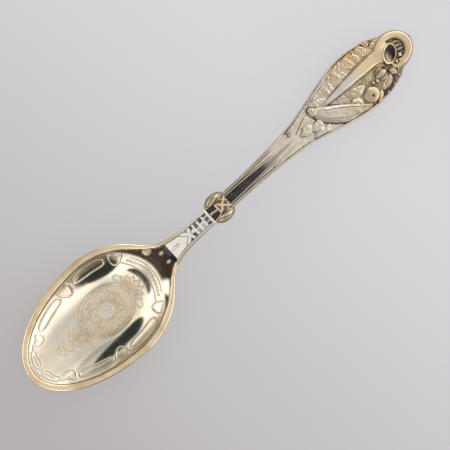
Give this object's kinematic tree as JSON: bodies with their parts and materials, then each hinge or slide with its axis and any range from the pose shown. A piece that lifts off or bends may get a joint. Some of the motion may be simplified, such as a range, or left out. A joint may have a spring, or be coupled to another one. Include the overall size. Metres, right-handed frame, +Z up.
{
  "type": "teaspoon",
  "caption": "Gilt silver teaspoon with a deep oval bowl, narrow neck, round knop, fluted stem and broad end in high relief.",
  "frame": {"origin": "middle of the spoon's length and width, on the table that it lies on", "axes": "+X from the bowl to the handle's end, +Y to the left of it, +Z up, with the bowl's hollow upwards"},
  "size_m": [0.1382, 0.031, 0.0153],
  "materials": {
    "gilt": "gloss",
    "silver": "gloss"
  },
  "bodies": {
    "root": {"bowl": "gilt", "neck": "silver", "collar": "silver", "knop": "gilt", "handle": "gilt", "horn": "gilt", "crest": "gilt", "fruit_cluster": "gilt", "leaf_spray": "gilt", "long_leaf": "gilt", "foot_leaves": "gilt"}
  },
  "joints": []
}
